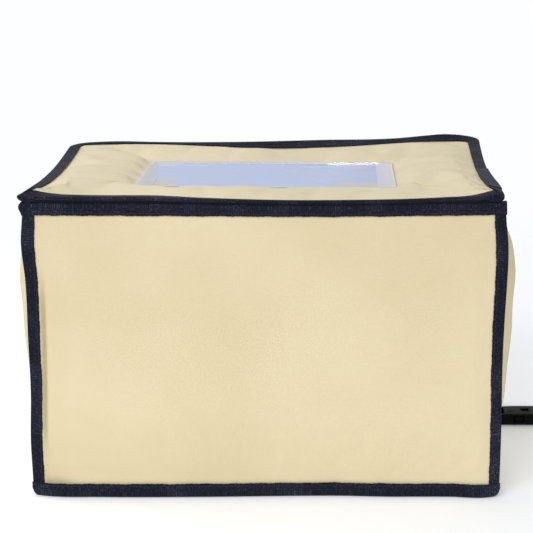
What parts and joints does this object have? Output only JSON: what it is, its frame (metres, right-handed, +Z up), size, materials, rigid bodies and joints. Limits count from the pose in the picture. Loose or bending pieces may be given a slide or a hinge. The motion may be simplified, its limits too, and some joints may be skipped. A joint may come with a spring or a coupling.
{
  "type": "folding dough proofer",
  "caption": "Rectangular padded fabric box with bound edges, a zipped lid with a clear window, side walls that fold inwards, and a strap with a side-release buckle.",
  "frame": {"origin": "centre of the box's footprint over its bound panels, on the surface it stands on", "axes": "+Z up, front panel faces -Y, +X to the right-hand side seen from the front, where the strap is"},
  "size_m": [0.5457, 0.331, 0.289],
  "materials": {
    "cream_fabric": "fine woven canvas, matte",
    "base_fabric": "fine woven canvas, matte",
    "edge_tape": "ribbed tape, matte",
    "zip_coil": "nylon coil",
    "zip_metal": "satin enamel",
    "lining": "coated wipe-clean lining",
    "foam": "closed-cell foam",
    "board": "foamed board",
    "heating_mat": "laminated film",
    "clear_film": "clear flexible film",
    "welded_film": "milky welded film",
    "webbing": "woven webbing",
    "buckle_plastic": "moulded acetal",
    "gland_rubber": "moulded rubber"
  },
  "bodies": {
    "back_and_base": {"base_cover": "base_fabric", "base_board": "board", "base_foam": "foam", "heating_mat": "heating_mat", "base_lining": "lining", "back_cover": "cream_fabric", "back_board": "board", "back_lining": "lining", "back_binding": "edge_tape", "hinge_tape": "edge_tape", "bottom_binding_front": "edge_tape", "bottom_binding_left": "edge_tape", "bottom_binding_right": "edge_tape", "cord_gland": "gland_rubber", "strap_inner": "webbing", "strap_outer": "webbing", "buckle_socket": "buckle_plastic"},
    "front_wall": {"front_cover": "cream_fabric", "front_board": "board", "front_lining": "lining", "front_binding": "edge_tape", "front_zip_coil": "zip_coil"},
    "lid": {"lid_cover": "cream_fabric", "lid_foam": "foam", "lid_lining": "lining", "lid_binding": "edge_tape", "window_weld": "welded_film", "window_film": "clear_film", "lid_zip_coil": "zip_coil"},
    "slider": {"zip_slider": "zip_metal"},
    "pull": {"zip_pull": "zip_metal"},
    "plug": {"buckle_plug": "buckle_plastic"},
    "prong_rear": {"buckle_prong_rear": "buckle_plastic"},
    "prong_front": {"buckle_prong_front": "buckle_plastic"},
    "right_rear_wall": {"right_rear_cover": "cream_fabric", "right_rear_board": "board", "right_rear_lining": "lining", "right_rear_rim_binding": "edge_tape", "right_rear_zip_coil": "zip_coil"},
    "right_front_wall": {"right_front_cover": "cream_fabric", "right_front_board": "board", "right_front_lining": "lining", "right_front_rim_binding": "edge_tape", "right_front_zip_coil": "zip_coil"},
    "left_rear_wall": {"left_rear_cover": "cream_fabric", "left_rear_board": "board", "left_rear_lining": "lining", "left_rear_rim_binding": "edge_tape", "left_rear_zip_coil": "zip_coil"},
    "left_front_wall": {"left_front_cover": "cream_fabric", "left_front_board": "board", "left_front_lining": "lining", "left_front_rim_binding": "edge_tape", "left_front_zip_coil": "zip_coil"}
  },
  "joints": [
    {"name": "wall_fold", "type": "hinge", "parent": "back_and_base", "child": "right_rear_wall", "pos_m": [0.2021, 0.1523, 0.1], "axis": [0, 0, -1], "range_deg": [0, 80], "deforming": ["right_rear_cover", "right_front_cover", "left_rear_cover", "left_front_cover"]},
    {"name": "right_crease", "type": "hinge", "parent": "right_rear_wall", "child": "right_front_wall", "pos_m": [0.2101, 0, 0.1], "axis": [0, 0, -1], "range_deg": [-160, 0]},
    {"name": "front_corner", "type": "hinge", "parent": "right_front_wall", "child": "front_wall", "pos_m": [0.2021, -0.1523, 0.1], "axis": [0, 0, -1], "range_deg": [0, 80]},
    {"name": "left_fold", "type": "hinge", "parent": "back_and_base", "child": "left_rear_wall", "pos_m": [-0.2021, 0.1523, 0.1], "axis": [0, 0, 1], "range_deg": [0, 80]},
    {"name": "left_crease", "type": "hinge", "parent": "left_rear_wall", "child": "left_front_wall", "pos_m": [-0.2101, 0, 0.1], "axis": [0, 0, 1], "range_deg": [-160, 0]},
    {"name": "lid_hinge", "type": "hinge", "parent": "back_and_base", "child": "lid", "pos_m": [0, 0.1604, 0.2793], "axis": [-1, 0, 0], "range_deg": [0, 180], "deforming": ["hinge_tape"]},
    {"name": "zip_slide", "type": "slide", "parent": "right_rear_wall", "child": "slider", "axis": [0, -1, 0], "range_m": [0, 0.075]},
    {"name": "pull_swing", "type": "hinge", "parent": "slider", "child": "pull", "pos_m": [0.2124, 0.1435, 0.2775], "axis": [0, -1, 0], "range_deg": [0, 85]},
    {"name": "buckle_slide", "type": "slide", "parent": "back_and_base", "child": "plug", "axis": [1, 0, 0], "range_m": [0, 0.028], "deforming": ["strap_outer", "buckle_prong_rear", "buckle_prong_front"]},
    {"name": "prong_rear_squeeze", "type": "hinge", "parent": "plug", "child": "prong_rear", "pos_m": [0.2745, 0.0914, 0.0077], "axis": [0, 0, 1], "range_deg": [0, 12], "stiffness_Nm_per_rad": 0.05},
    {"name": "prong_front_squeeze", "type": "hinge", "parent": "plug", "child": "prong_front", "pos_m": [0.2745, 0.0666, 0.0077], "axis": [0, 0, -1], "range_deg": [0, 12], "stiffness_Nm_per_rad": 0.05}
  ],
  "couplings": [
    {"joint": "right_crease", "follows": "wall_fold", "ratio": -2},
    {"joint": "front_corner", "follows": "wall_fold", "ratio": 1},
    {"joint": "left_fold", "follows": "wall_fold", "ratio": 1},
    {"joint": "left_crease", "follows": "wall_fold", "ratio": -2}
  ]
}
